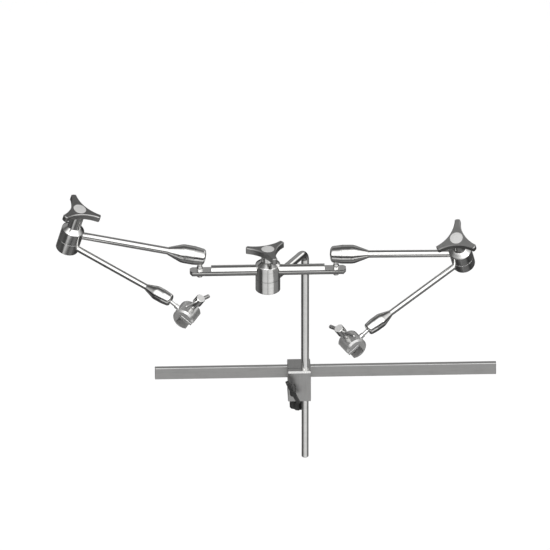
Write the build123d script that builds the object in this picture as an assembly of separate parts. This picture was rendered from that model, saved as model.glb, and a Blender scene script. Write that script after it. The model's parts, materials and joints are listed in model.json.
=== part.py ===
from build123d import *
import os
from math import cos, radians, sin, tan

# Rail-mounted double holding arm, in millimetres.
# Origin: centre of the rail's back face. +X along the rail, +Y away from the operator, +Z up.

# ---- clearances ----
RUN = 0.05            # radial play of a running fit
SEAT = 0.02           # radial play of a fixed fit
SEAM = 0.2            # gap between two turned halves that move on each other
CUT = 1.0             # how far a cutting shape runs past a face

# ---- rail ----
RAIL_LENGTH = 686.0
RAIL_DEPTH = 10.0
RAIL_HEIGHT = 25.0
RAIL_HOLE_SPACING = 600.0
RAIL_HOLE_R = 2.5     # tapping drill of M6
RAIL_HOLE_DEPTH = 7.5
RAIL_EDGE = 0.8

# ---- clamp block ----
BLOCK_X = -53.7       # middle of the block along the rail
BLOCK_WIDTH = 46.0
BLOCK_FRONT = 38.0    # from the rail's front face to the block's front
BLOCK_TOP = 8.0       # above the rail
BLOCK_FLOOR = 34.2    # below the rail
HOOK_DEPTH = 6.3      # behind the rail
HOOK_DROP = 8.5       # how far the hook reaches down behind the rail
FLANGE = 10.5         # floor under the moving jaw
BLOCK_BEVEL = 3.2
BLOCK_END_BEVEL = 0.7
RAIL_PLAY = 0.1
JAW_HEIGHT = 13.0
JAW_DEPTH = 11.0      # in front of the rail's front face
JAW_LIP = 7.0         # up behind the rail
JAW_SIDE_PLAY = 0.5
JAW_EDGE = 0.6
RAIL_SCREW_R = 4.0    # M8
RAIL_SCREW_IN_JAW = 3.5
SCREW_END = 0.6       # chamfer on a screw's end
RAIL_KNOB_R = 19.0
RAIL_KNOB_HEIGHT = 22.0
RAIL_KNOB_DROP = 13.0  # below the block's floor
RAIL_KNOB_LOBES = 7
RAIL_KNOB_SCALLOP_R = 6.0
RAIL_KNOB_SCALLOP_OUT = 3.6  # scallop's centre outside the knob's rim
RAIL_KNOB_SHOULDER = 4.0
RAIL_KNOB_COLLAR_R = 9.0
RAIL_KNOB_FLOOR = 5.0
RAIL_KNOB_EDGE = 1.2

# ---- post ----
POST_X = -42.0
POST_FRONT = 22.0     # from the rail's front face to the post's axis
POST_LOWER_R = 7.0
POST_SHOULDER = 1.0
POST_UPPER_R = POST_LOWER_R + POST_SHOULDER
POST_END = 1.2
POST_IN_HUB = 12.0    # from the hub's axis to the bent rod's end
POST_BELOW = 135.0    # lower rod that shows under the block
POST_RISE = 287.0     # height of the bent arm above the rail's middle
POST_REACH = 150.8    # from the post's axis to the hub's axis
POST_TURN = 31.6      # degrees to the left of straight ahead
POST_BEND_R = 18.0
SLIT = 1.4
PINCH_LEFT = 25.7     # pinch screw, to the left of the post's axis
PINCH_Z = -13.0
PINCH_SCREW_R = 4.0
PINCH_BOSS_R = 6.5
PINCH_BOSS_LENGTH = 31.0
PINCH_BOSS_FLOOR = 6.0
PINCH_SCREW_CLEAR = 0.4
PINCH_SCREW_SHORT = 4.0  # from the screw's end to the rail side of the block
PINCH_HOLE_SHORT = 1.5
PINCH_WING_REACH = 23.0
PINCH_LOBE_R = 5.5
PINCH_LOBE_DOWN = 7.0  # lobe's centre below the boss's end
PINCH_WEB_DOWN = 15.0
PINCH_WEB_TOP = 1.5
PINCH_WING_THICK = 6.0
PINCH_ROUND = 1.2
PINCH_TILT = 26.0

# ---- hub ----
HUB_R = 25.0
HUB_LOWER_HEIGHT = 27.0
HUB_UPPER_HEIGHT = 31.0
HUB_CONE = 8.0
HUB_NECK = 12.5
HUB_KNOB_TURN = 47.2
HUB_DISC_R = 20.0
HUB_DISC_THICK = 2.0
BODY_EDGE = 1.0       # chamfer round the foot of the hub and the elbows

# ---- cross bar ----
BAR_R = 11.0
BAR_HALF = 157.0
BAR_END = 5.0
BAR_DROP = 13.5       # bar's axis below the top of the upper hub's cylinder
TONGUE_FROM = 114.0
TONGUE_FLAT = 2.75    # above the bar's axis
STUD_AT = 137.0
STUD_RISE = 33.0      # ball centre above the bar's axis
SPOT_FACE = 0.8
NUT_R = 5.5
NUT_HEIGHT = 3.2
NUT_ROUND = 1.6
NUT_FLOOR = 0.8
NUT_PLAY = 0.6

# ---- knobs ----
KNOB_TIP = 43.5
KNOB_TIP_WIDTH = 11.0
KNOB_WAIST = 17.0
KNOB_THICK = 13.5
KNOB_TIP_BULGE = 1.4
KNOB_CORNER = 2.4
KNOB_NECK_R = 13.4
KNOB_BEVEL = 1.4
KNOB_THREAD_GAP = 0.6
KNOB_CAP_R = 13.0
KNOB_CAP_THICK = 3.0
KNOB_CAP_PROUD = 0.4
KNOB_CAP_EDGE = 0.35
SPINDLE_R = 6.0       # M12
SPINDLE_HEAD_R = 9.5
SPINDLE_HEAD = 6.0
SPINDLE_SUNK = 0.5
SPINDLE_END = 0.8
SPINDLE_GRIP = 7.5    # thread inside the wings

# ---- elbow ----
ELBOW_R = 23.0
ELBOW_HALF = 26.0     # height of each half
ELBOW_CONE = 8.5
ELBOW_CONE_R = 13.5
ELBOW_NECK = {"left": 32.0, "right": 25.0}
CAM_R = 8.5
CAM_WAIST = 5.5
CAM_HALF = 4.0
CAM_ROOF = 3.0        # metal over the cam
CAM_GAP = 1.2         # push rod's tip to the cam
SOCKET_END = 13.0     # tube ends this far from the elbow's axis

# ---- arms ----
UPPER_REACH = {"left": 266.0, "right": 255.0}
LOWER_REACH = 235.0
HEAD_REACH = 50.0     # small ball to the middle of the clamp head
UPPER_ROD_R = 7.5
UPPER_BORE_R = 4.0
LOWER_ROD_R = 6.0
LOWER_BORE_R = 3.0
PUSH_PLAY = 0.4
TAPER_LIP = 0.5       # barrel's thin end above the tube
TUBE_GRIP = 1.6       # tube inside the barrel, in tube radii

# ---- clamp head ----
HEAD_R = 22.5
HEAD_LENGTH = 40.0
HEAD_BEVEL = 3.4
HEAD_FLAT = 20.2      # flat on the open side
SCREW_FLAT = 21.0     # flat where the screw enters
SCREW_FLAT_HALF = 11.0
POCKET_BACK = 9.0     # from the axis, away from the open side
POCKET_LOW = 16.0
POCKET_HIGH = 9.5
POCKET_CORNER = 2.0
JAW_BAR = 6.0
JAW_BAR_TOP = 6.5
JAW_BAR_PLAY = 0.25
JAW_BAR_SHORT = 1.0   # inside the head's faces
JAW_BAR_EDGE = 0.8
SCREW_R = 5.0         # M10
PEG_R = 3.75
PEG_DEPTH = 3.0
SCREW_TOP = 61.0
SCREW_HEAD_R = 9.6
SCREW_HEAD = 18.0
SCREW_HEAD_EDGE = 0.9
TOMMY_BAR_R = 4.0
TOMMY_THIN_R = 2.5
TOMMY_OUT = 30.0
TOMMY_ROUND = 1.5
TOMMY_IN = 41.0
TOMMY_TIP = 2.5
TOMMY_TIP_R = 0.8

# Directions of the pose in which the arms stand: rod runs from the elbow to the big ball, lower from
# the elbow to the small ball, head from the small ball to the clamp head, screw up the clamp screw,
# bar along the thick end of its tommy bar. The elbow's hinge axis is square to both rods.
POSE = {
    "left": {
        "rod": (0.970, 0.044, -0.237),
        "lower": (0.834, -0.461, -0.303),
        "head": (0.761, -0.315, -0.567),
        "screw": (0.462, -0.3615, 0.809),
        "bar": (0.702, 0.711, -0.023),
    },
    "right": {
        "rod": (-0.979, 0.182, -0.091),
        "lower": (-0.803, -0.435, -0.407),
        "head": (-0.755, -0.317, -0.574),
        "screw": (-0.466, -0.3636, 0.806),
        "bar": (-0.702, 0.711, -0.023),
    },
}
KNOB_TURN = {"left": -15.0, "right": 32.0}  # degrees from the upper rod
SIDE_SIGN = {"left": -1.0, "right": 1.0}


# ---- ball joints ----
SLOT_PLAY = 0.4       # each side of the stud
SLOT_OVER = 10.5      # degrees that the slot lets the stud pass square to the barrel
SLOT_END_GAP = 0.6
CUP_FRONT = 0.62      # start of the cup, in ball radii
CUP_SHORT = 1.5       # from the cup's back to the spigot's end
NOSE_LAND = 2.0       # parallel part of the nose beside the seam
NOSE_ROUND = 0.34     # nose's corner, in barrel radii
TAPER_ROUND = 1.6     # curves at the taper's ends, in barrel radii


class BallJoint:
    """Sizes of a ball joint in a tapered barrel; z = 0 is the ball's centre, +z towards the rod."""

    def __init__(self, barrel_r, ball_r, neck_r, nose, seam, parallel, length, face_r, rod_r, bore_r):
        self.barrel_r = barrel_r      # outside of the barrel
        self.ball_r = ball_r
        self.neck_r = neck_r          # stud beside the ball
        self.nose = nose              # ball centre to the end of the nose
        self.seam = seam              # ball centre to the joint between nose and barrel
        self.parallel = parallel      # ball centre to where the taper starts
        self.length = length          # ball centre to the rod
        self.face_r = face_r          # end of the nose before its corner is rounded
        self.rod_r = rod_r
        self.bore_r = bore_r
        self.slot = neck_r + SLOT_PLAY
        self.spigot_r = (barrel_r + ball_r) / 2
        self.spigot = 0.4 * ball_r + 4
        self.cup_front = CUP_FRONT * ball_r
        self.cup_back = seam + self.spigot - CUP_SHORT


BIG = BallJoint(19.0, 12.5, 5.0, 10.5, 14.5, 36.0, 66.0, 16.2, UPPER_ROD_R, UPPER_BORE_R)
SMALL = BallJoint(14.25, 9.2, 3.6, 8.0, 11.0, 27.0, 50.0, 12.2, LOWER_ROD_R, LOWER_BORE_R)
BIG_STUD_BASE_R = 6.35
BIG_STUD_BASE = 9.0
BIG_STUD_CONE = 4.0
BIG_STUD_END_R = 4.0
SMALL_STUD_R = 5.0
SMALL_STUD_STEP = 21.0  # from the ball's centre to the thicker part
SMALL_STUD_CONE = 1.2
STUD_END = 0.8
STUD_GRIP = 5.0       # small stud's end inside the clamp head

# ---- places that follow from the sizes above ----
RAIL_TOP = RAIL_HEIGHT / 2
BLOCK_Y = -RAIL_DEPTH - BLOCK_FRONT
BLOCK_CEIL = RAIL_TOP + BLOCK_TOP
BLOCK_BASE = -RAIL_TOP - BLOCK_FLOOR
POST_Y = -RAIL_DEPTH - POST_FRONT
AHEAD = Vector(-sin(radians(POST_TURN)), -cos(radians(POST_TURN)), 0)
POST = Vector(POST_X, POST_Y, 0)
HUB = POST + AHEAD * POST_REACH
HUB_BASE = POST_RISE - HUB_LOWER_HEIGHT / 2
HUB_SPLIT = HUB_BASE + HUB_LOWER_HEIGHT
HUB_SHOULDER = HUB_SPLIT + HUB_UPPER_HEIGHT
HUB_NECK_BASE = HUB_SHOULDER + HUB_CONE
BAR_Z = HUB_SHOULDER - BAR_DROP
BALL_Z = BAR_Z + STUD_RISE
ELBOW_SPLIT = -ELBOW_HALF / 2
ELBOW_NECK_BASE = ELBOW_HALF / 2 + ELBOW_CONE
UP = (Align.CENTER, Align.CENTER, Align.MIN)


# ---- helpers ----
def rod(radius, low, high):
    """A round bar on the z axis."""
    return Pos(0, 0, low) * Cylinder(radius, high - low, align=UP)


def rod_x(radius, low, high):
    """A round bar on the x axis."""
    return Rot(0, 90, 0) * rod(radius, low, high)


def block(low, high):
    """A box between two corners."""
    size = [b - a for a, b in zip(low, high)]
    return Pos(*low) * Box(*size, align=(Align.MIN, Align.MIN, Align.MIN))


def frustum(low_r, high_r, low, high):
    """A cone frustum on the z axis."""
    return Pos(0, 0, low) * Cone(low_r, high_r, high - low, align=UP)


def place(shape, origin, z_dir, x_dir):
    """Move a shape from the origin to a frame; x_dir is squared to z_dir."""
    z = Vector(z_dir).normalized()
    x = Vector(x_dir)
    x = (x - z * x.dot(z)).normalized()
    return Plane(origin=origin, x_dir=x, z_dir=z).location * shape


def only_solid(shape):
    """The one solid of a finished piece."""
    solids = shape.solids()
    assert len(solids) == 1, f"{len(solids)} solids in one piece"
    return solids[0]


# ---- rail and clamp ----
def rail_bar():
    bar = Pos(0, -RAIL_DEPTH / 2, 0) * Box(RAIL_LENGTH, RAIL_DEPTH, RAIL_HEIGHT)
    bar = chamfer(bar.edges(), RAIL_EDGE)
    for side in (-1, 1):
        hole = Rot(90, 0, 0) * rod(RAIL_HOLE_R, 0, RAIL_HOLE_DEPTH)
        bar -= Pos(side * RAIL_HOLE_SPACING / 2, 0, 0) * hole
    return bar


def clamp_block():
    hook_end = RAIL_TOP - HOOK_DROP
    chamber_y = -RAIL_DEPTH - JAW_DEPTH - RAIL_PLAY
    outline = Polyline(
        (BLOCK_Y, BLOCK_BASE),
        (BLOCK_Y, BLOCK_CEIL - BLOCK_BEVEL),
        (BLOCK_Y + BLOCK_BEVEL, BLOCK_CEIL),
        (HOOK_DEPTH, BLOCK_CEIL),
        (HOOK_DEPTH, hook_end),
        (RAIL_PLAY, hook_end),
        (RAIL_PLAY, RAIL_TOP + RAIL_PLAY),
        (-RAIL_DEPTH - RAIL_PLAY, RAIL_TOP + RAIL_PLAY),
        (-RAIL_DEPTH - RAIL_PLAY, -RAIL_TOP + RAIL_PLAY),
        (chamber_y, -RAIL_TOP + RAIL_PLAY),
        (chamber_y, BLOCK_BASE + FLANGE),
        (HOOK_DEPTH, BLOCK_BASE + FLANGE),
        (HOOK_DEPTH, BLOCK_BASE),
        close=True,
    )
    left = BLOCK_X - BLOCK_WIDTH / 2
    face = Plane(origin=(left, 0, 0), x_dir=(0, 1, 0), z_dir=(1, 0, 0)) * make_face(outline)
    body = extrude(face, BLOCK_WIDTH)
    on_end = Plane.YZ.offset(left), Plane.YZ.offset(left + BLOCK_WIDTH)
    ends = [e for e in body.edges() if any(plane.contains(e.center()) for plane in on_end)]
    body = chamfer(ends, BLOCK_END_BEVEL)
    body -= Pos(POST_X, POST_Y, 0) * rod(POST_LOWER_R + RUN, BLOCK_BASE - CUT, BLOCK_CEIL + CUT)
    slit_low = (left - CUT, POST_Y - SLIT / 2, BLOCK_BASE - CUT)
    body -= block(slit_low, (POST_X, POST_Y + SLIT / 2, BLOCK_CEIL + CUT))
    pinch = Pos(POST_X - PINCH_LEFT, 0, PINCH_Z) * Rot(90, 0, 0)
    body -= pinch * rod(PINCH_SCREW_R + RUN, -chamber_y + PINCH_HOLE_SHORT, -BLOCK_Y + CUT)
    body -= pinch * rod(PINCH_SCREW_R + PINCH_SCREW_CLEAR, -POST_Y, -BLOCK_Y + CUT)
    return body - rail_screw_place() * rod(RAIL_SCREW_R + RUN, BLOCK_BASE - CUT, BLOCK_BASE + FLANGE + CUT)


def rail_screw_place():
    return Pos(BLOCK_X, -RAIL_DEPTH / 2, 0)


def rail_jaw():
    """Moving jaw that closes on the rail's lower edge, with a lip behind the rail."""
    half = BLOCK_WIDTH / 2 - JAW_SIDE_PLAY
    top = -RAIL_TOP - SEAT
    base = block(
        (BLOCK_X - half, -RAIL_DEPTH - JAW_DEPTH, top - JAW_HEIGHT),
        (BLOCK_X + half, HOOK_DEPTH, top),
    )
    lip = block((BLOCK_X - half, RAIL_PLAY, top), (BLOCK_X + half, HOOK_DEPTH, top + JAW_LIP))
    jaw = chamfer((base + lip).edges().filter_by(Axis.X), JAW_EDGE)
    low = top - JAW_HEIGHT
    return jaw - rail_screw_place() * rod(RAIL_SCREW_R + RUN, low - CUT, low + RAIL_SCREW_IN_JAW + RUN)


def rail_knob_screw():
    low = BLOCK_BASE - RAIL_KNOB_DROP - RAIL_KNOB_HEIGHT + RAIL_KNOB_FLOOR
    high = -RAIL_TOP - SEAT - JAW_HEIGHT + RAIL_SCREW_IN_JAW
    return rail_screw_place() * chamfer(rod(RAIL_SCREW_R, low, high).edges(), SCREW_END)


def rail_knob():
    """Lobed grip: a turned body with scallops between its lobes."""
    top = BLOCK_BASE - RAIL_KNOB_DROP
    low = top - RAIL_KNOB_HEIGHT
    shoulder = top - RAIL_KNOB_SHOULDER
    body = rod(RAIL_KNOB_R, low, shoulder) + frustum(RAIL_KNOB_R, RAIL_KNOB_COLLAR_R, shoulder, top)
    scallop = Pos(RAIL_KNOB_R + RAIL_KNOB_SCALLOP_OUT, 0, 0) * rod(RAIL_KNOB_SCALLOP_R, low - CUT, top + CUT)
    for index in range(RAIL_KNOB_LOBES):
        body -= Rot(0, 0, 360 * (index + 0.5) / RAIL_KNOB_LOBES) * scallop
    body = chamfer(body.faces().sort_by(Axis.Z)[0].edges(), RAIL_KNOB_EDGE)
    body -= rod(RAIL_SCREW_R + SEAT, low + RAIL_KNOB_FLOOR, top + CUT)
    return rail_screw_place() * body


# ---- post pinch screw ----
def pinch_place():
    """z runs out of the block's front face."""
    return Pos(POST_X - PINCH_LEFT, BLOCK_Y, PINCH_Z) * Rot(90, 0, 0)


def pinch_screw_stud():
    reach = BLOCK_FRONT - JAW_DEPTH - PINCH_SCREW_SHORT
    stud = rod(PINCH_SCREW_R, -reach, PINCH_BOSS_LENGTH - PINCH_BOSS_FLOOR)
    return pinch_place() * chamfer(stud.edges(), SCREW_END)


def pinch_wing():
    body = rod(PINCH_BOSS_R, SEAM, PINCH_BOSS_LENGTH)
    root = PINCH_BOSS_LENGTH - PINCH_WEB_DOWN
    crest = PINCH_BOSS_LENGTH - PINCH_WEB_TOP
    for side in (-1, 1):
        lobe = (side * PINCH_WING_REACH, PINCH_BOSS_LENGTH - PINCH_LOBE_DOWN)
        web = make_face(
            Polyline(
                (0, root),
                (side * PINCH_BOSS_R, root),
                (lobe[0], lobe[1] - PINCH_LOBE_R),
                (lobe[0], lobe[1] + PINCH_LOBE_R),
                (side * PINCH_BOSS_R, crest),
                (0, crest),
                close=True,
            )
        )
        flat = Sketch() + web + Pos(*lobe) * Circle(PINCH_LOBE_R)
        body += extrude(Plane.XZ * flat, PINCH_WING_THICK / 2, both=True)
    body = fillet(body.faces().sort_by(Axis.Z)[-1].edges(), PINCH_ROUND)
    body -= rod(PINCH_SCREW_R + SEAT, SEAM - CUT, PINCH_BOSS_LENGTH - PINCH_BOSS_FLOOR)
    return pinch_place() * Rot(0, 0, -(90 - PINCH_TILT)) * body


# ---- post ----
def post_lower_rod():
    bar = rod(POST_LOWER_R, BLOCK_BASE - POST_BELOW, BLOCK_CEIL)
    bar = chamfer(bar.edges().sort_by(Axis.Z)[0], POST_END)
    return Pos(POST_X, POST_Y, 0) * bar


def post_bent_rod():
    start = Vector(POST_X, POST_Y, BLOCK_CEIL + RUN)
    corner = Vector(POST_X, POST_Y, POST_RISE)
    end = corner + AHEAD * (POST_REACH - POST_IN_HUB)
    route = FilletPolyline(start, corner, end, radius=POST_BEND_R)
    return sweep(Plane(origin=start, z_dir=(0, 0, 1)) * Circle(POST_UPPER_R), path=route)


# ---- hub ----
def at_hub(shape):
    return Pos(HUB.X, HUB.Y, 0) * shape


def hub_lower():
    body = rod(HUB_R, HUB_BASE, HUB_SPLIT - SEAM / 2)
    body = chamfer(body.edges().sort_by(Axis.Z)[0], BODY_EDGE)
    body -= rod(SPINDLE_R + SEAT, HUB_BASE - CUT, HUB_SPLIT + CUT)
    body -= rod(SPINDLE_HEAD_R + SEAT, HUB_BASE - CUT, HUB_BASE + SPINDLE_HEAD)
    body -= rod(HUB_DISC_R + SEAT, disc_low(), HUB_SPLIT + CUT)
    arm_hole = rod(POST_UPPER_R + SEAT, POST_IN_HUB, HUB_R + CUT)
    return at_hub(body - place(arm_hole, (0, 0, POST_RISE), -AHEAD, (0, 0, 1)))


def disc_low():
    return HUB_SPLIT - SEAM / 2 - HUB_DISC_THICK / 2


def hub_friction_disc():
    low, high = disc_low(), disc_low() + HUB_DISC_THICK
    return at_hub(rod(HUB_DISC_R, low, high) - rod(SPINDLE_R + SEAT, low - CUT, high + CUT))


def hub_upper():
    body = rod(HUB_R, HUB_SPLIT + SEAM / 2, HUB_SHOULDER)
    body += frustum(HUB_R, ELBOW_CONE_R, HUB_SHOULDER, HUB_NECK_BASE)
    body -= rod(SPINDLE_R + RUN, HUB_SPLIT - CUT, HUB_NECK_BASE + CUT)
    body -= rod(HUB_DISC_R + 2 * RUN, HUB_SPLIT - CUT, disc_low() + HUB_DISC_THICK + RUN)
    return at_hub(body - Pos(0, 0, BAR_Z) * rod_x(BAR_R + SEAT, -HUB_R - CUT, HUB_R + CUT))


def hub_spindle():
    top = HUB_NECK_BASE + HUB_NECK + SPINDLE_GRIP
    bolt = rod(SPINDLE_HEAD_R, HUB_BASE + SPINDLE_SUNK, HUB_BASE + SPINDLE_HEAD)
    bolt += rod(SPINDLE_R, HUB_BASE + SPINDLE_HEAD, top)
    return at_hub(chamfer(bolt.edges().sort_by(Axis.Z)[-1], SPINDLE_END))


def wing_knob(neck_base, neck_length, turn):
    """Three-wing knob with its neck; z is the spindle's axis."""
    base = neck_base + neck_length
    half = KNOB_TIP_WIDTH / 2
    edges = []
    for index in range(3):
        here = 120 * index
        tip = [Vector(KNOB_TIP, side * half, 0).rotate(Axis.Z, here) for side in (-1, 1)]
        after = Vector(KNOB_TIP, -half, 0).rotate(Axis.Z, here + 120)
        waist = Vector(KNOB_WAIST, 0, 0).rotate(Axis.Z, here + 60)
        bulge = Vector(KNOB_TIP + KNOB_TIP_BULGE, 0, 0).rotate(Axis.Z, here)
        edges.append(ThreePointArc(tip[0], bulge, tip[1]))
        edges.append(ThreePointArc(tip[1], waist, after))
    wings = extrude(make_face(edges), KNOB_THICK)
    wings = fillet(wings.edges().filter_by(Axis.Z), KNOB_CORNER)
    wings = chamfer(wings.faces().sort_by(Axis.Z)[-1].edges(), KNOB_BEVEL)
    wings = chamfer(wings.faces().sort_by(Axis.Z)[0].edges(), KNOB_BEVEL)
    knob = Pos(0, 0, base) * wings
    knob += rod(KNOB_NECK_R, neck_base + SEAM, base + KNOB_BEVEL)
    knob -= rod(SPINDLE_R + RUN, neck_base - CUT, base + SPINDLE_GRIP + KNOB_THREAD_GAP)
    cap_base = base + KNOB_THICK + KNOB_CAP_PROUD - KNOB_CAP_THICK
    knob -= rod(KNOB_CAP_R + SEAT, cap_base, base + KNOB_THICK + CUT)
    return Rot(0, 0, turn) * knob


def knob_cap(neck_base, neck_length):
    top = neck_base + neck_length + KNOB_THICK + KNOB_CAP_PROUD
    cap = rod(KNOB_CAP_R, top - KNOB_CAP_THICK, top)
    return chamfer(cap.edges().sort_by(Axis.Z)[-1], KNOB_CAP_EDGE)


def cross_bar():
    past = BAR_R + CUT
    bar = chamfer(rod_x(BAR_R, -BAR_HALF, BAR_HALF).edges(), BAR_END)
    for side in (-1, 1):
        low, high = sorted((side * TONGUE_FROM, side * (BAR_HALF + CUT)))
        bar -= block((low, -past, TONGUE_FLAT), (high, past, past))
        bar -= Pos(side * STUD_AT, 0, 0) * rod(BIG_STUD_END_R + RUN, -past, past)
        bar -= Pos(side * STUD_AT, 0, 0) * rod(NUT_R + NUT_PLAY, -past, -BAR_R + SPOT_FACE)
    return at_hub(Pos(0, 0, BAR_Z) * (bar - rod(SPINDLE_R + RUN, -past, past)))


# ---- ball joints ----
def barrel_form(j):
    """The whole outer shape of nose and barrel, as one turned body."""
    outline = FilletPolyline(
        (0, -j.nose),
        (j.face_r, -j.nose),
        (j.barrel_r, j.seam - NOSE_LAND),
        (j.barrel_r, j.parallel),
        (j.rod_r + TAPER_LIP, j.length),
        radius=[NOSE_ROUND * j.barrel_r, TAPER_ROUND * j.barrel_r, TAPER_ROUND * j.barrel_r],
    )
    back = Polyline((j.rod_r + TAPER_LIP, j.length), (0, j.length), (0, -j.nose))
    face = make_face(outline.edges() + back.edges())
    return revolve(Plane.XZ * face, Axis.Z)


def nose(j):
    """Slotted nose: seat for the ball, slot for its stud towards +x, spigot into the barrel."""
    wide = j.barrel_r + CUT
    body = barrel_form(j) & block((-wide, -wide, -j.nose - CUT), (wide, wide, j.seam - SEAM))
    body += rod(j.spigot_r - RUN, j.seam - SEAM, j.seam + j.spigot)
    body -= Sphere(j.ball_r + RUN)
    body -= rod(j.ball_r + RUN, 0, j.seam + j.spigot + CUT)
    slot_back = j.barrel_r * tan(radians(SLOT_OVER)) + SLOT_END_GAP
    body -= block((0, -j.slot, -j.nose - CUT), (wide, j.slot, slot_back))
    body -= rod_x(j.slot, 0, wide).moved(Pos(0, 0, slot_back))
    return body - rod(j.slot, -j.nose - CUT, 0)


def barrel(j):
    """Tapered barrel behind the nose, bored for the nose's spigot, the cup, the push rod and the tube."""
    wide = j.barrel_r + CUT
    body = barrel_form(j) & block((-wide, -wide, j.seam), (wide, wide, j.length + CUT))
    body -= rod(j.spigot_r, j.seam - CUT, j.seam + j.spigot + SEAM)
    body -= rod(j.bore_r, j.seam, j.length)
    return body - rod(j.rod_r + SEAT, tube_start(j), j.length + CUT)


def tube_start(j):
    return j.length - TUBE_GRIP * j.rod_r


def pressure_cup(j):
    """Plug behind the ball, hollowed to fit it."""
    return rod(j.ball_r, j.cup_front, j.cup_back) - Sphere(j.ball_r + RUN)


def arm_tube(j, reach, outer_r):
    """Tube from the barrel to the elbow, on the barrel's axis; z = 0 is the ball."""
    tube = rod(outer_r, tube_start(j) + SEAM, reach - SOCKET_END)
    return tube - rod(j.bore_r, 0, reach)


def push_rod(j, reach):
    """Rod in the tube, from the pressure cup to the elbow's cam."""
    radius = j.bore_r - PUSH_PLAY
    tip = reach - CAM_WAIST - radius - CAM_GAP
    return rod(radius, j.cup_back + SEAM, tip) + Pos(0, 0, tip) * Sphere(radius)


def big_ball_stud():
    """Ball above, shank down through the tongue; z = 0 is the ball's centre."""
    seat = -STUD_RISE + TONGUE_FLAT
    cone = seat + BIG_STUD_BASE - BIG_STUD_CONE
    end = -STUD_RISE - BAR_R + SPOT_FACE - NUT_HEIGHT + NUT_FLOOR
    stud = Sphere(BIG.ball_r) + rod(BIG.neck_r, seat + RUN, 0) + rod(BIG_STUD_BASE_R, seat + RUN, cone)
    stud += frustum(BIG_STUD_BASE_R, BIG.neck_r, cone, seat + BIG_STUD_BASE)
    return stud + rod(BIG_STUD_END_R, end, cone)


def stud_nut():
    top = -STUD_RISE - BAR_R + SPOT_FACE - RUN
    nut = rod(NUT_R, top - NUT_HEIGHT, top)
    nut = fillet(nut.edges().sort_by(Axis.Z)[0], NUT_ROUND)
    return nut - rod(BIG_STUD_END_R + SEAT, top - NUT_HEIGHT + NUT_FLOOR, top + CUT)


def small_ball_stud():
    """Ball at z = 0, shank along +z into the clamp head."""
    end = HEAD_REACH - HEAD_R + STUD_GRIP
    step = SMALL_STUD_STEP
    stud = Sphere(SMALL.ball_r) + rod(SMALL.neck_r, 0, step)
    stud += frustum(SMALL.neck_r, SMALL_STUD_R, step - SMALL_STUD_CONE, step) + rod(SMALL_STUD_R, step, end)
    return chamfer(stud.edges().sort_by(Axis.Z)[-1], STUD_END)


# ---- elbow: z is its hinge axis, z = 0 the level of the upper rod, x along the rod ----
def socket(radius, push_r, level):
    hole = rod_x(radius + SEAT, SOCKET_END, ELBOW_R + CUT) + rod_x(push_r, 0, SOCKET_END + CUT)
    return Pos(0, 0, level) * hole


def elbow_upper():
    body = rod(ELBOW_R, ELBOW_SPLIT + SEAM / 2, ELBOW_HALF / 2)
    body += frustum(ELBOW_R, ELBOW_CONE_R, ELBOW_HALF / 2, ELBOW_NECK_BASE)
    body -= rod(SPINDLE_R + RUN, 0, ELBOW_NECK_BASE + CUT)
    body -= rod(CAM_R + RUN, ELBOW_SPLIT - CUT, ELBOW_HALF / 2 - CAM_ROOF)
    return body - socket(UPPER_ROD_R, UPPER_BORE_R, 0)


def elbow_lower():
    floor = ELBOW_SPLIT - ELBOW_HALF
    body = rod(ELBOW_R, floor, ELBOW_SPLIT - SEAM / 2)
    body = chamfer(body.edges().sort_by(Axis.Z)[0], BODY_EDGE)
    body -= rod(CAM_R + SEAT, floor - CUT, ELBOW_SPLIT + CUT)
    body -= rod(SPINDLE_HEAD_R + SEAT, floor - CUT, floor + SPINDLE_HEAD)
    return body - socket(LOWER_ROD_R, LOWER_BORE_R, -ELBOW_HALF)


def elbow_spindle(neck):
    floor = ELBOW_SPLIT - ELBOW_HALF
    top = ELBOW_NECK_BASE + neck + SPINDLE_GRIP
    bolt = rod(SPINDLE_HEAD_R, floor + SPINDLE_SUNK, floor + SPINDLE_HEAD) + rod(SPINDLE_R, 0, top)
    bolt += rod(CAM_R, floor + SPINDLE_HEAD, ELBOW_HALF / 2 - CAM_ROOF - RUN)
    bolt = chamfer(bolt.edges().sort_by(Axis.Z)[-1], SPINDLE_END)
    for level in (0, -ELBOW_HALF):
        ring = rod(CAM_R + CUT, level - CAM_HALF, level + CAM_HALF)
        ring -= frustum(CAM_R, CAM_WAIST, level - CAM_HALF, level)
        ring -= frustum(CAM_WAIST, CAM_R, level, level + CAM_HALF)
        bolt -= ring
    return bolt


# ---- clamp head: z is the cylinder's axis, x towards the open side, y up the screw ----
def coupling_body():
    """Cylinder milled to a C: the pocket runs right through and is open on the flat side."""
    half, past = HEAD_LENGTH / 2, HEAD_R + CUT
    body = rod(HEAD_R, -half, half)
    body = chamfer(body.edges().filter_by(GeomType.CIRCLE), HEAD_BEVEL)
    body -= block((HEAD_FLAT, -past, -half - CUT), (past, past, half + CUT))
    body -= block((-HEAD_R, SCREW_FLAT, -SCREW_FLAT_HALF), (HEAD_R, past, SCREW_FLAT_HALF))
    pocket = block((-POCKET_BACK, -POCKET_LOW, -half - CUT), (past, POCKET_HIGH, half + CUT))
    inner = [e for e in pocket.edges().filter_by(Axis.Z) if e.center().X < 0]
    body -= fillet(inner, POCKET_CORNER)
    body -= Rot(-90, 0, 0) * rod(SCREW_R + RUN, POCKET_HIGH - CUT, past)
    return body - Rot(0, -90, 0) * rod(SMALL_STUD_R + RUN, HEAD_R - STUD_GRIP - SEAM, past)


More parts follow.
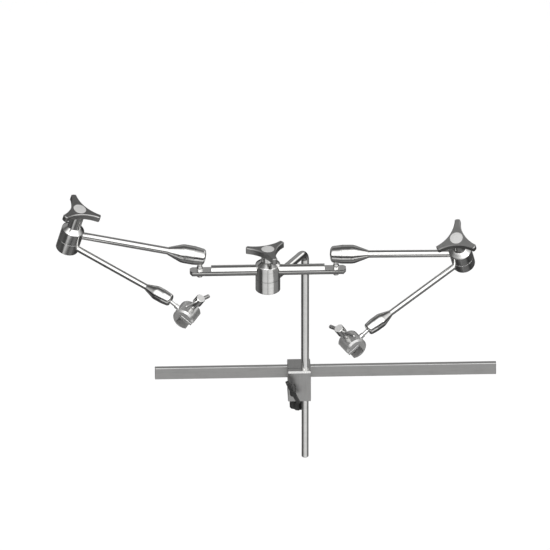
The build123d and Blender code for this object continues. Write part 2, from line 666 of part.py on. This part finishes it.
def coupling_jaw():
    """Bar that slides along the pocket's back wall; the screw's peg sits in it."""
    half = HEAD_LENGTH / 2 - JAW_BAR_SHORT
    bar = block(
        (-POCKET_BACK + JAW_BAR_PLAY, JAW_BAR_TOP - JAW_BAR, -half),
        (HEAD_FLAT - JAW_BAR_SHORT, JAW_BAR_TOP, half),
    )
    bar = chamfer(bar.edges(), JAW_BAR_EDGE)
    return bar - Rot(-90, 0, 0) * rod(PEG_R + RUN, JAW_BAR_TOP - PEG_DEPTH - RUN, JAW_BAR_TOP + CUT)


# ---- clamp screw: z up the screw, x along the tommy bar ----
def tommy_level():
    return SCREW_TOP - SCREW_HEAD / 2


def t_screw():
    """Clamp screw: peg in the jaw, thread, and a head drilled for the tommy bar."""
    low = SCREW_TOP - SCREW_HEAD
    screw = rod(SCREW_R, JAW_BAR_TOP + RUN, low + CUT) + rod(PEG_R, JAW_BAR_TOP - PEG_DEPTH, low)
    head = rod(SCREW_HEAD_R, low, SCREW_TOP)
    head = chamfer(head.edges().filter_by(GeomType.CIRCLE), SCREW_HEAD_EDGE)
    hole = rod_x(TOMMY_THIN_R + SEAT, -SCREW_HEAD_R - CUT, SCREW_HEAD_R + CUT)
    return screw + head - Pos(0, 0, tommy_level()) * hole


def tommy_bar():
    """Thick end outwards, thin end through the screw's head with a pointed tip."""
    bar = rod_x(TOMMY_BAR_R, SCREW_HEAD_R + RUN, TOMMY_OUT)
    bar = fillet(bar.edges().sort_by(Axis.X)[-1], TOMMY_ROUND)
    tip = TOMMY_IN - TOMMY_TIP
    bar += rod_x(TOMMY_THIN_R, -tip, SCREW_HEAD_R + CUT)
    bar += Rot(0, -90, 0) * frustum(TOMMY_THIN_R, TOMMY_TIP_R, tip, TOMMY_IN)
    return Pos(0, 0, tommy_level()) * bar


def squared(direction, axis):
    """The direction, tilted just enough to stand square to the axis."""
    d = Vector(direction)
    return (d - axis * axis.dot(d)).normalized()


def arm_places(side):
    """Points and unit directions of one arm, in the row frame."""
    pose = POSE[side]
    rod_dir = Vector(pose["rod"]).normalized()
    lower_dir = Vector(pose["lower"]).normalized()
    axis = rod_dir.cross(lower_dir).normalized()
    axis = axis if axis.Z > 0 else -axis
    head_dir = Vector(pose["head"]).normalized()
    screw_dir = squared(pose["screw"], head_dir)
    big = Vector(HUB.X + SIDE_SIGN[side] * STUD_AT, HUB.Y, BALL_Z)
    elbow = big - rod_dir * UPPER_REACH[side]
    small = elbow - axis * ELBOW_HALF + lower_dir * LOWER_REACH
    return {
        "big": big,
        "elbow": elbow,
        "small": small,
        "head": small + head_dir * HEAD_REACH,
        "rod": rod_dir,
        "lower": lower_dir,
        "axis": axis,
        "out": head_dir,
        "screw": screw_dir,
        "bar": squared(pose["bar"], screw_dir),
    }


def arm(side):
    """All pieces of one arm, by node name."""
    at = arm_places(side)
    reach = UPPER_REACH[side]
    up = Vector(0, 0, 1)

    def at_big(shape):
        return place(shape, at["big"], -at["rod"], -up)

    def at_small(shape):
        return place(shape, at["small"], -at["lower"], at["out"])

    def at_elbow(shape, along):
        return place(shape, at["elbow"], at["axis"], at[along])

    def at_head(shape):
        return place(shape, at["head"], at["out"].cross(at["screw"]), at["out"])

    def on_screw(shape):
        return place(shape, at["head"], at["screw"], at["bar"])

    neck, turn = ELBOW_NECK[side], KNOB_TURN[side]
    return {
        "ball_stud_a": place(big_ball_stud(), at["big"], up, (1, 0, 0)),
        "stud_nut_a": place(stud_nut(), at["big"], up, (1, 0, 0)),
        "nose_a": at_big(nose(BIG)),
        "pressure_cup_a": at_big(pressure_cup(BIG)),
        "barrel_a": at_big(barrel(BIG)),
        "upper_rod": at_big(arm_tube(BIG, reach, UPPER_ROD_R)),
        "push_rod_a": at_big(push_rod(BIG, reach)),
        "elbow_upper": at_elbow(elbow_upper(), "rod"),
        "elbow_lower": at_elbow(elbow_lower(), "lower"),
        "elbow_spindle": at_elbow(elbow_spindle(neck), "lower"),
        "elbow_knob": at_elbow(wing_knob(ELBOW_NECK_BASE, neck, turn), "rod"),
        "elbow_knob_cap": at_elbow(knob_cap(ELBOW_NECK_BASE, neck), "rod"),
        "lower_rod": at_small(arm_tube(SMALL, LOWER_REACH, LOWER_ROD_R)),
        "push_rod_b": at_small(push_rod(SMALL, LOWER_REACH)),
        "barrel_b": at_small(barrel(SMALL)),
        "pressure_cup_b": at_small(pressure_cup(SMALL)),
        "nose_b": at_small(nose(SMALL)),
        "ball_stud_b": place(small_ball_stud(), at["small"], at["out"], up),
        "coupling_body": at_head(coupling_body()),
        "coupling_jaw": at_head(coupling_jaw()),
        "t_screw": on_screw(t_screw()),
        "tommy_bar": on_screw(tommy_bar()),
    }


def build():
    """Every piece of the object, by node name."""
    parts = {
        "rail_bar": rail_bar(),
        "clamp_block": clamp_block(),
        "rail_jaw": rail_jaw(),
        "rail_knob_screw": rail_knob_screw(),
        "rail_knob": rail_knob(),
        "pinch_screw_stud": pinch_screw_stud(),
        "pinch_wing": pinch_wing(),
        "post_lower_rod": post_lower_rod(),
        "post_bent_rod": post_bent_rod(),
        "hub_lower": hub_lower(),
        "hub_friction_disc": hub_friction_disc(),
        "hub_upper": hub_upper(),
        "hub_spindle": hub_spindle(),
        "hub_knob": at_hub(wing_knob(HUB_NECK_BASE, HUB_NECK, HUB_KNOB_TURN)),
        "hub_knob_cap": at_hub(knob_cap(HUB_NECK_BASE, HUB_NECK)),
        "cross_bar": cross_bar(),
    }
    for side in ("left", "right"):
        for name, shape in arm(side).items():
            parts[f"{side}_{name}"] = shape
    return parts


def main():
    os.makedirs("parts", exist_ok=True)
    for name, shape in build().items():
        piece = only_solid(shape)
        piece.label = name
        export_step(piece, f"parts/{name}.step")


main()
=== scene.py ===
"""Looks of the rail-mounted double holding arm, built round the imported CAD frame."""
import json
import math

import bpy
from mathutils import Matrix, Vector


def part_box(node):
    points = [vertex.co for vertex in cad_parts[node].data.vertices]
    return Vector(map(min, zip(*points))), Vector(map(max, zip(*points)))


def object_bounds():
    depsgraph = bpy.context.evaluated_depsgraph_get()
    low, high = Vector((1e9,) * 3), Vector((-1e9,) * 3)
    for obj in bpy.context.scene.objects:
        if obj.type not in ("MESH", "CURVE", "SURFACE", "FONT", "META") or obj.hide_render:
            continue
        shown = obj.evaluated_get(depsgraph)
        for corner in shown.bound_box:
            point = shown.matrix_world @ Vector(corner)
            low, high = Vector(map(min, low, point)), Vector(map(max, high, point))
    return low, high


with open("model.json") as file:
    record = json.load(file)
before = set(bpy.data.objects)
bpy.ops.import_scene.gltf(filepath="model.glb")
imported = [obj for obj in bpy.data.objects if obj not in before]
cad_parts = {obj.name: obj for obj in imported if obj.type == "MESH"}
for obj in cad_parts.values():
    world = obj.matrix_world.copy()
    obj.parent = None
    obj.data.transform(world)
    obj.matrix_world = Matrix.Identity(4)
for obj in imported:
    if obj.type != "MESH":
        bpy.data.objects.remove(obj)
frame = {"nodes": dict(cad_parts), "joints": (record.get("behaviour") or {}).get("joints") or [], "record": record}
cad_low, cad_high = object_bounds()
NODES = frame["nodes"]
JOINTS = {joint["name"]: joint for joint in frame["joints"]}
SIDES = ("left", "right")

# ---- camera and stage, in metres and degrees ----
CAMERA_AZIMUTH = -1.9
CAMERA_ELEVATION = 28.8
CAMERA_DISTANCE = 3.0
CLIP_END = 50.0
VIEW_WIDTH = 1.1055
LOOK_AT = Vector((-0.107, -0.170, 0.311))
FLOOR_DROP = 0.30      # floor below the object's lowest point
FLOOR_REACH = 12.0

# ---- edges of the CAD nodes ----
EDGE = 0.00035         # bevel on every sharp edge
SEAM_EDGE = 0.0009     # where two halves meet, so that the joint shows as a groove
SEAMED = ("hub_lower", "hub_upper", "elbow_lower", "elbow_upper")
WELD = 0.00001
SHARP = 34             # degrees
NECK_R = (0.0131, 0.0136)    # radii between which a wing knob's faces are its neck
CROWN = 0.0005         # faces this near a T-screw's top are its end

# ---- scales of the steel's marks ----
RING_TURN = 0.0006     # how far the rings drift in a radian round the axis
BAND_SHARE = 0.17      # broad bands, as a share of the grain's scale
STAIN_SCALE = 55.0
MARK_DEPTH = 0.00005
PEEL_SCALE = 1400.0
PEEL_DEPTH = 0.0001


# ---------------------------------------------------------------- materials
def new_material(name):
    """A node material with its shader; returns (material, nodes, links, shader)."""
    material = bpy.data.materials.new(name)
    material.use_nodes = True
    tree = material.node_tree
    return material, tree.nodes, tree.links, tree.nodes["Principled BSDF"]


def object_coords(nodes, links, scale=(1, 1, 1)):
    """Object coordinates, which are the row frame for every piece, scaled."""
    coords = nodes.new("ShaderNodeTexCoord")
    mapping = nodes.new("ShaderNodeMapping")
    mapping.inputs["Scale"].default_value = scale
    links.new(coords.outputs["Object"], mapping.inputs["Vector"])
    return mapping.outputs["Vector"]


def noise(nodes, links, vector, scale, detail=3.0, roughness=0.55):
    """Grey noise, 0 to 1, over the given coordinates."""
    node = nodes.new("ShaderNodeTexNoise")
    node.inputs["Scale"].default_value = scale
    node.inputs["Detail"].default_value = detail
    node.inputs["Roughness"].default_value = roughness
    links.new(vector, node.inputs["Vector"])
    return node.outputs["Fac"]


def ramp(nodes, links, value, stops):
    """Colour ramp through (position, grey or colour) stops."""
    node = nodes.new("ShaderNodeValToRGB")
    elements = node.color_ramp.elements
    while len(elements) < len(stops):
        elements.new(0.5)
    for element, (position, colour) in zip(elements, stops):
        element.position = position
        element.color = (*colour, 1) if isinstance(colour, tuple) else (colour, colour, colour, 1)
    links.new(value, node.inputs["Fac"])
    return node.outputs["Color"]


def remap(nodes, links, value, low, high):
    """The value's 0 to 1 spread over low to high."""
    node = nodes.new("ShaderNodeMapRange")
    node.inputs["To Min"].default_value = low
    node.inputs["To Max"].default_value = high
    links.new(value, node.inputs["Value"])
    return node.outputs["Result"]


def add_bump(nodes, links, shader, height, strength, distance):
    """Bumps the shader's normal by a height."""
    bump = nodes.new("ShaderNodeBump")
    bump.inputs["Strength"].default_value = strength
    bump.inputs["Distance"].default_value = distance
    links.new(height, bump.inputs["Height"])
    links.new(bump.outputs["Normal"], shader.inputs["Normal"])


def math_node(nodes, links, operation, first, second=None):
    """One maths step over numbers or sockets."""
    node = nodes.new("ShaderNodeMath")
    node.operation = operation
    for socket, value in zip(node.inputs, (first, second)):
        if value is None:
            continue
        if isinstance(value, (int, float)):
            socket.default_value = value
        else:
            links.new(value, socket)
    return node.outputs["Value"]


def step_between(nodes, links, value, start, end):
    """0 below start and 1 above end, with a smooth change between."""
    node = nodes.new("ShaderNodeMapRange")
    node.interpolation_type = "SMOOTHSTEP"
    node.inputs["From Min"].default_value = start
    node.inputs["From Max"].default_value = end
    links.new(value, node.inputs["Value"])
    return node.outputs["Result"]


def between(nodes, links, value, start, end, soft):
    """1 from start to end and 0 outside, with soft sides."""
    falling = step_between(nodes, links, value, end - soft, end)
    below = math_node(nodes, links, "SUBTRACT", 1.0, falling)
    rising = step_between(nodes, links, value, start, start + soft)
    return math_node(nodes, links, "MULTIPLY", rising, below)


def blend(nodes, links, factor, low, high):
    """low where factor is 0, high where it is 1."""
    node = nodes.new("ShaderNodeMix")
    node.data_type = "FLOAT"
    inputs = node.inputs
    for socket, value in ((inputs["Factor"], factor), (inputs["A"], low), (inputs["B"], high)):
        if isinstance(value, (int, float)):
            socket.default_value = value
        else:
            links.new(value, socket)
    return node.outputs["Result"]


def degree_ramp(nodes, links, value, stops):
    """Grey ramp over -180 to 180 degrees."""
    unit = math_node(nodes, links, "ADD", math_node(nodes, links, "DIVIDE", value, 360.0), 0.5)
    return ramp(nodes, links, unit, [((angle + 180) / 360, grey) for angle, grey in stops])


def grey_colour(value):
    """Steel's colour at this brightness, a touch warm."""
    return (value, value * 0.995, value * 0.98)


def turned_coords(nodes, links, axis):
    """(radius, slow angle, height) round a turned piece's axis, so that noise over it makes rings."""
    origin, direction = axis
    coords = nodes.new("ShaderNodeTexCoord")
    mapping = nodes.new("ShaderNodeMapping")
    mapping.vector_type = "TEXTURE"
    mapping.inputs["Location"].default_value = origin
    mapping.inputs["Rotation"].default_value = direction.to_track_quat("Z", "Y").to_euler()
    links.new(coords.outputs["Object"], mapping.inputs["Vector"])
    split = nodes.new("ShaderNodeSeparateXYZ")
    links.new(mapping.outputs["Vector"], split.inputs["Vector"])
    across = math_node(nodes, links, "SQRT", math_node(
        nodes, links, "ADD",
        math_node(nodes, links, "POWER", split.outputs["X"], 2.0),
        math_node(nodes, links, "POWER", split.outputs["Y"], 2.0)))
    angle = math_node(nodes, links, "ARCTAN2", split.outputs["Y"], split.outputs["X"])
    joined = nodes.new("ShaderNodeCombineXYZ")
    links.new(across, joined.inputs["X"])
    links.new(math_node(nodes, links, "MULTIPLY", angle, RING_TURN), joined.inputs["Y"])
    links.new(split.outputs["Z"], joined.inputs["Z"])
    return joined.outputs["Vector"]


def steel(
    name, grey, rough, axis=None, grain=(1, 1, 1), grain_scale=900.0, bump=0.1, spread=0.04, metal=1.0
):
    """Stainless steel with fine marks: rings round an axis, or grain along a stretched direction."""
    material, nodes, links, shader = new_material(name)
    shader.inputs["Metallic"].default_value = metal
    vector = turned_coords(nodes, links, axis) if axis else object_coords(nodes, links, grain)
    marks = noise(nodes, links, vector, grain_scale, 3.0)
    bands = noise(nodes, links, vector, grain_scale * BAND_SHARE, 2.0)
    stains = noise(nodes, links, object_coords(nodes, links), STAIN_SCALE, 5.0)
    tone = blend(nodes, links, 0.35, marks, bands)
    tone = blend(nodes, links, 0.3, tone, stains)
    dark, light = grey * 0.84, min(1.0, grey * 1.06)
    colours = [(0.3, grey_colour(dark)), (0.5, grey_colour(grey)), (0.72, grey_colour(light))]
    links.new(ramp(nodes, links, tone, colours), shader.inputs["Base Color"])
    links.new(remap(nodes, links, tone, rough - spread, rough + spread), shader.inputs["Roughness"])
    add_bump(nodes, links, shader, marks, bump, MARK_DEPTH)
    return material


def coated(name, grey, rough, pitted):
    """Black paint or plastic with a fine orange-peel surface and rubbed patches."""
    material, nodes, links, shader = new_material(name)
    peel = noise(nodes, links, object_coords(nodes, links), PEEL_SCALE, 3.0)
    wear = noise(nodes, links, object_coords(nodes, links), 60.0, 5.0)
    colours = [(0.35, grey_colour(grey * 0.7)), (0.75, grey_colour(grey * 1.6))]
    links.new(ramp(nodes, links, wear, colours), shader.inputs["Base Color"])
    links.new(remap(nodes, links, wear, rough - 0.08, rough + 0.12), shader.inputs["Roughness"])
    add_bump(nodes, links, shader, peel, pitted, PEEL_DEPTH)
    return material


# Brightness, roughness and the other settings of each steel slot of the record.
FINISH = {
    "rail_steel": dict(
        grey=0.56, rough=0.34, grain=(0.06, 1, 1), grain_scale=420.0, bump=0.45, spread=0.08),
    "block_steel": dict(
        grey=0.54, rough=0.33, grain=(1, 1, 0.06), grain_scale=420.0, bump=0.2, spread=0.05),
    "polished_steel": dict(grey=0.74, rough=0.13, grain_scale=700.0, bump=0.06, spread=0.03),
    "turned_steel": dict(grey=0.72, rough=0.15, grain_scale=600.0, bump=0.08, spread=0.04),
    "knob_steel": dict(grey=0.34, rough=0.36, grain_scale=1100.0, bump=0.25, spread=0.06),
    "cap_steel": dict(grey=0.66, rough=0.42, grain_scale=800.0, bump=0.1, metal=0.35),
    "head_steel": dict(grey=0.52, rough=0.24, grain_scale=800.0, bump=0.15, spread=0.05, metal=0.7),
    "hidden_steel": dict(grey=0.45, rough=0.4),
    "friction_disc": dict(grey=0.5, rough=0.4),
}
SHARED = {
    "black_plastic": coated("black_plastic", 0.018, 0.4, 0.35),
    "black_paint": coated("black_paint", 0.018, 0.3, 0.25),
}


def joint_line(name):
    """(point, direction) of a joint's axis."""
    joint = JOINTS[name]
    return Vector(joint["pos_m"]), Vector(joint["axis"]).normalized()


def turning_axis(node):
    """(point, direction) of the lathe axis of a turned piece, or None."""
    whole = {
        "post_lower_rod": "post_swivel", "hub_lower": "hub_swivel", "hub_upper": "hub_swivel",
        "hub_knob": "hub_swivel", "hub_knob_cap": "hub_swivel", "rail_knob_screw": "rail_knob_turn",
        "pinch_screw_stud": "pinch_turn",
    }
    of_arm = {
        "ball_stud_a": "yaw_a", "stud_nut_a": "yaw_a", "nose_a": "roll_a", "barrel_a": "roll_a",
        "upper_rod": "roll_a", "elbow_upper": "elbow", "elbow_lower": "elbow", "elbow_knob": "elbow",
        "elbow_knob_cap": "elbow", "lower_rod": "roll_b", "barrel_b": "roll_b", "nose_b": "roll_b",
        "ball_stud_b": "spin_b", "t_screw": "screw_turn",
    }
    if node in whole:
        return joint_line(whole[node])
    if node == "cross_bar":
        low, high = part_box(node)
        return (low + high) / 2, Vector((1, 0, 0))
    side, _, piece = node.partition("_")
    if side in SIDES and piece in of_arm:
        return joint_line(f"{side}_{of_arm[piece]}")
    return None


def finish_of(slot, node, axis):
    """The slot's material, made afresh for a turned piece because its rings run round its own axis."""
    key = slot if axis is None else f"{slot}.{node}"
    if key not in SHARED:
        SHARED[key] = steel(key, axis=axis, **FINISH[slot])
    return SHARED[key]


# ---------------------------------------------------------------- CAD nodes
def dress(name, slot):
    """Smooth shading, a fine edge radius and a material for a carried-over CAD node."""
    node = NODES[name]
    mesh = node.data
    axis = turning_axis(name)
    mesh.materials.clear()
    mesh.materials.append(finish_of(slot, name, axis))
    for attribute in ("custom_normal", "sharp_edge"):
        if attribute in mesh.attributes:
            mesh.attributes.remove(mesh.attributes[attribute])
    for polygon in mesh.polygons:
        polygon.use_smooth = True
    weld = node.modifiers.new("weld", "WELD")
    weld.merge_threshold = WELD
    edges = node.modifiers.new("edges", "BEVEL")
    edges.width = SEAM_EDGE if name.endswith(SEAMED) else EDGE
    edges.segments = 2
    edges.limit_method = "ANGLE"
    edges.angle_limit = math.radians(SHARP)
    edges.use_clamp_overlap = True
    normals = node.modifiers.new("normals", "WEIGHTED_NORMAL")
    normals.weight = 60
    if name.endswith("knob") and slot == "knob_steel":
        mesh.materials.append(finish_of("turned_steel", name, axis))
        paint_faces(mesh, axis, lambda out, up, facing: NECK_R[0] < out < NECK_R[1])
    if name.endswith("t_screw"):
        mesh.materials.append(finish_of("cap_steel", name, axis))
        top = max((polygon.center - axis[0]).dot(-axis[1]) for polygon in mesh.polygons)
        paint_faces(mesh, axis, lambda out, up, facing: -facing > 0.9 and -up > top - CROWN)


def paint_faces(mesh, axis, chosen):
    """Gives the second material to the faces for which chosen(radius, height, facing) is true."""
    origin, direction = axis
    for polygon in mesh.polygons:
        offset = polygon.center - origin
        up = offset.dot(direction)
        out = (offset - direction * up).length
        if chosen(out, up, polygon.normal.dot(direction)):
            polygon.material_index = 1


def dress_cad_nodes():
    """Dresses every node of the record."""
    for row in frame["record"]["subparts"]:
        dress(row["node"], row["material_slot"])


# ---------------------------------------------------------------- stage, light and camera
def make_floor():
    """Pale floor below the object, left out of the steel's reflections."""
    z = cad_low.z - FLOOR_DROP
    mesh = bpy.data.meshes.new("floor")
    corners = [(-1, -1), (1, -1), (1, 1), (-1, 1)]
    mesh.from_pydata([(x * FLOOR_REACH, y * FLOOR_REACH, z) for x, y in corners], [], [(0, 1, 2, 3)])
    floor = bpy.data.objects.new("floor", mesh)
    bpy.context.scene.collection.objects.link(floor)
    material, _, _, shader = new_material("floor_paint")
    shader.inputs["Base Color"].default_value = (0.93, 0.93, 0.93, 1)
    shader.inputs["Roughness"].default_value = 0.9
    mesh.materials.append(material)
    floor.visible_glossy = False


def area_light(name, place, aim, size, watts):
    """A soft box at place, turned towards aim."""
    light = bpy.data.lights.new(name, "AREA")
    light.shape = "RECTANGLE"
    light.size, light.size_y = size
    light.energy = watts
    lamp = bpy.data.objects.new(name, light)
    lamp.location = place
    lamp.rotation_euler = (Vector(aim) - Vector(place)).to_track_quat("-Z", "Y").to_euler()
    bpy.context.scene.collection.objects.link(lamp)


def make_lights():
    """A large soft box over the camera's left shoulder and a weak one on the right."""
    middle = (cad_low + cad_high) / 2
    area_light("key_box", middle + Vector((-0.8, -2.4, 2.0)), middle, (1.4, 1.0), 14)
    area_light("side_box", middle + Vector((2.2, -1.6, 1.0)), middle, (0.6, 1.6), 5)


# What the steel mirrors below and above eye height: brightness by azimuth in degrees, where 0 is the
# camera's side and + is right.
LOW_SURROUND = [
    (-180, 0.14), (-112, 0.15), (-76, 0.05), (-56, 0.06), (-50, 0.62), (-30, 0.78), (-8, 0.8), (-3, 0.3),
    (3, 0.8), (26, 0.98), (49, 0.9), (57, 0.27), (100, 0.25), (118, 0.05), (150, 0.06), (180, 0.14),
]
HIGH_SURROUND = [
    (-180, 0.1), (-112, 0.1), (-82, 0.35), (-54, 1.6), (54, 1.8), (76, 0.9), (104, 0.4), (126, 0.1),
    (180, 0.1),
]
NADIR_GREY = 0.025     # least brightness below eye height
FLOOR_GLOW = 0.12      # of the floor in front
REAR_GLOW = 0.24       # of the wall behind
ZENITH_GREY = 0.4
WINDOW_GREY = 1.1      # of a small window behind on the right
PAPER_WHITE = 1.06     # background, and the light on matt surfaces


def make_world():
    """White to the eye and to matt surfaces; the steel mirrors a bright front and dark sides."""
    world = bpy.data.worlds.new("studio")
    bpy.context.scene.world = world
    world.use_nodes = True
    nodes, links = world.node_tree.nodes, world.node_tree.links

    def maths(operation, first, second=None):
        return math_node(nodes, links, operation, first, second)

    def step(value, start, end):
        return step_between(nodes, links, value, start, end)

    def mix(factor, low, high):
        return blend(nodes, links, factor, low, high)

    coords = nodes.new("ShaderNodeTexCoord")
    split = nodes.new("ShaderNodeSeparateXYZ")
    links.new(coords.outputs["Generated"], split.inputs["Vector"])
    x, y, z = (split.outputs[axis] for axis in "XYZ")
    to_degrees = 180 / math.pi
    azimuth = maths("MULTIPLY", maths("ARCTAN2", x, maths("MULTIPLY", y, -1.0)), to_degrees)
    turned = maths("ABSOLUTE", azimuth)
    height = maths("MULTIPLY", maths("ARCSINE", z), to_degrees)

    # below eye height: a bright band in front, and a faint floor under it
    lit = maths("SUBTRACT", 1.0, step(height, -26, -16))
    band = maths("MULTIPLY", lit, mix(step(height, -48, -36), 0.12, 1.0))
    front = maths("SUBTRACT", 1.0, step(turned, 85, 120))
    floor_glow = maths("MULTIPLY", front, mix(step(height, -62, -50), FLOOR_GLOW, 0.0))
    low = degree_ramp(nodes, links, azimuth, LOW_SURROUND)
    low = maths("ADD", maths("MULTIPLY", low, band), floor_glow)
    low = maths("ADD", low, NADIR_GREY)

    # above it: a bright front, a dim wall behind and a window
    rear = maths("MULTIPLY", step(turned, 95, 140), maths("SUBTRACT", 1.0, step(height, 34, 52)))
    high = degree_ramp(nodes, links, azimuth, HIGH_SURROUND)
    high = maths("ADD", high, maths("MULTIPLY", rear, REAR_GLOW))
    grey = mix(step(height, -2, 14), low, high)
    grey = mix(step(height, 70, 88), grey, ZENITH_GREY)
    window = maths(
        "MULTIPLY", between(nodes, links, azimuth, 102, 142, 8), between(nodes, links, height, 14, 40, 6))
    grey = maths("ADD", grey, maths("MULTIPLY", window, WINDOW_GREY))

    path = nodes.new("ShaderNodeLightPath")
    grey = mix(path.outputs["Is Glossy Ray"], PAPER_WHITE, grey)
    links.new(grey, nodes["Background"].inputs["Color"])


def make_camera():
    """Parallel view from slightly above, as through a long lens."""
    azimuth, elevation = math.radians(CAMERA_AZIMUTH), math.radians(CAMERA_ELEVATION)
    level = math.cos(elevation)
    back = Vector((math.sin(azimuth) * level, -math.cos(azimuth) * level, math.sin(elevation)))
    data = bpy.data.cameras.new("camera")
    data.type = "ORTHO"
    data.ortho_scale = VIEW_WIDTH
    data.clip_end = CLIP_END
    camera = bpy.data.objects.new("camera", data)
    camera.location = LOOK_AT + back * CAMERA_DISTANCE
    camera.rotation_euler = (-back).to_track_quat("-Z", "Y").to_euler()
    bpy.context.scene.collection.objects.link(camera)
    bpy.context.scene.camera = camera


bpy.context.scene.view_settings.view_transform = "Standard"
make_camera()
dress_cad_nodes()
make_floor()
make_lights()
make_world()
